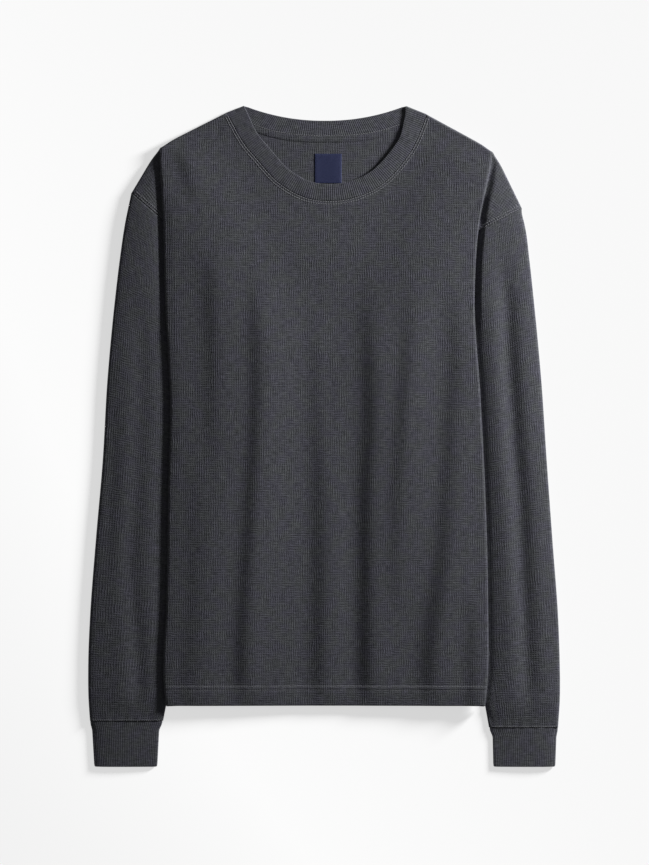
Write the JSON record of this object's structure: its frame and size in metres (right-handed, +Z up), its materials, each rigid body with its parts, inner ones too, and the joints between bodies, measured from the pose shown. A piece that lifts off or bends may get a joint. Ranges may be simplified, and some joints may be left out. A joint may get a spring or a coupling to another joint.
{
  "type": "long-sleeved thermal top laid flat",
  "caption": "Crew-neck waffle-knit thermal top lying face up, sides turned under, sleeves folded down beside the body, ribbed neckband and cuffs.",
  "frame": {"origin": "middle of the footprint, on the surface that the top lies on", "axes": "+Z up out of the front of the top, +Y towards the neck, +X towards the right of someone looking down at it with the neck at the top"},
  "size_m": [0.5674, 0.795, 0.0123],
  "materials": {
    "waffle_knit": "matte heathered charcoal waffle knit",
    "rib_knit": "matte heathered charcoal fine rib",
    "woven_label": "plain navy woven satin"
  },
  "bodies": {
    "root": {"front": "waffle_knit", "back": "waffle_knit", "sleeve_left": "waffle_knit", "sleeve_right": "waffle_knit", "cuff_left": "rib_knit", "cuff_right": "rib_knit", "neckband": "rib_knit", "label": "woven_label"}
  },
  "joints": []
}
